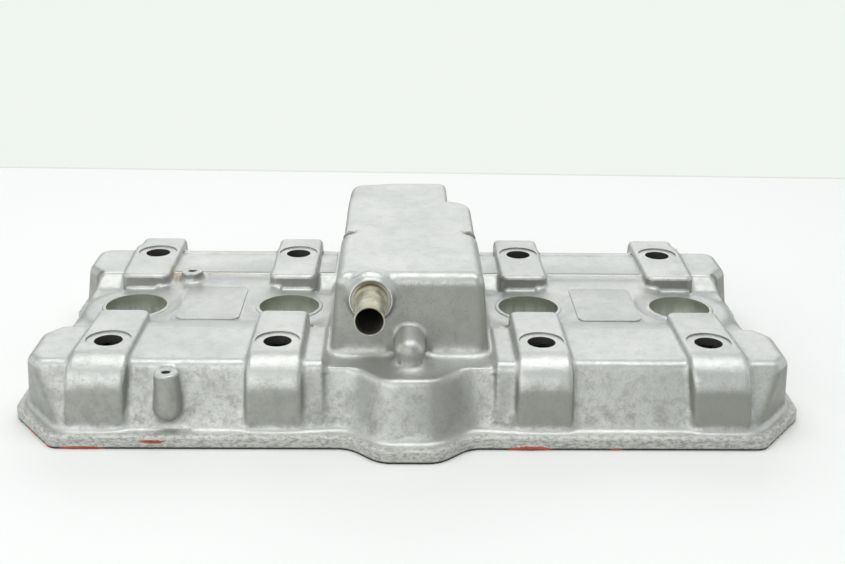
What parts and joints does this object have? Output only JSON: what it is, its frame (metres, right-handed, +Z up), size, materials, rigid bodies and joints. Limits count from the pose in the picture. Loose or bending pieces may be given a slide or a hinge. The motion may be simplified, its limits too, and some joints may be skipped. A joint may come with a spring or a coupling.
{
  "type": "engine valve cover",
  "caption": "Cast aluminium valve cover with two cam domes, bolt pads, plug wells and a tall breather box with a hose spigot.",
  "frame": {"origin": "centre of the cover on its machined joint face", "axes": "+X along the camshafts, -Y on the side of the breather spigot, +Z up away from the cylinder head"},
  "size_m": [0.39, 0.223, 0.0795],
  "materials": {
    "cast_aluminium": "as cast, blasted",
    "plated_tube": "yellow zinc, faded",
    "baffle_steel": "zinc",
    "screw_steel": "zinc"
  },
  "bodies": {
    "root": {"valve_cover": "cast_aluminium", "breather_spigot": "plated_tube", "breather_baffle": "baffle_steel", "baffle_screws": "screw_steel"}
  },
  "joints": []
}
